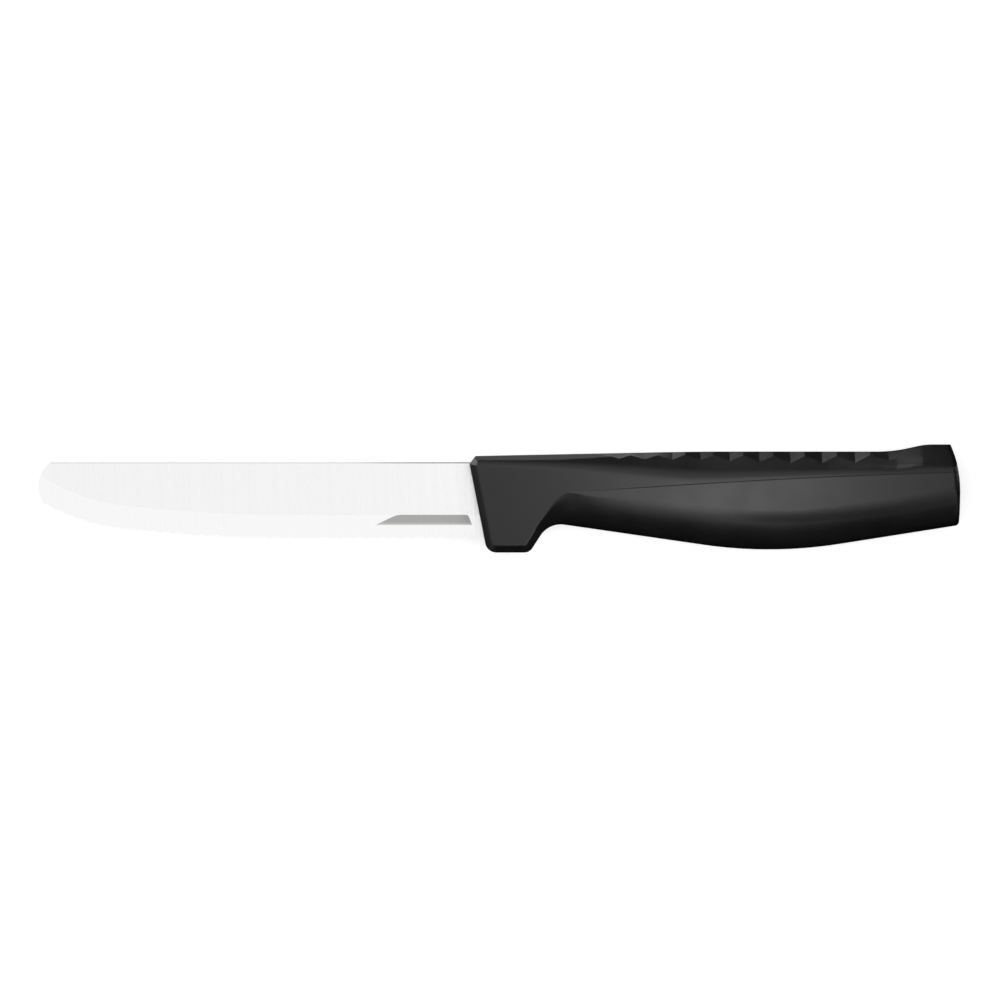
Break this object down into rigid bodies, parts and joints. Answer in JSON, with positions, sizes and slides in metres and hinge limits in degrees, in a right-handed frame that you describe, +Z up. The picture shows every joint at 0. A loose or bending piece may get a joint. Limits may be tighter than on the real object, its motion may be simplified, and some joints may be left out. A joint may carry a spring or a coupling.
{
  "type": "tomato knife",
  "caption": "Tomato knife with a finely serrated straight edge, blunt rounded tip and a two-shot moulded handle with finger guard, faceted back and rounded soft belly.",
  "frame": {"origin": "under the middle of the knife's overall box, on the surface it lies on", "axes": "+X from the blade's tip to the handle's butt, +Y from the cutting edge to the spine, +Z up through the thickness, away from the surface it lies on"},
  "size_m": [0.2302, 0.027, 0.018],
  "materials": {
    "blade_steel": "fine satin along the blade, bright ground edge",
    "hard_plastic": "charcoal black, fine satin grain",
    "soft_plastic": "charcoal black soft-touch elastomer, slightly duller grain"
  },
  "bodies": {
    "root": {"blade": "blade_steel", "handle_core": "hard_plastic", "soft_grip": "soft_plastic"}
  },
  "joints": []
}
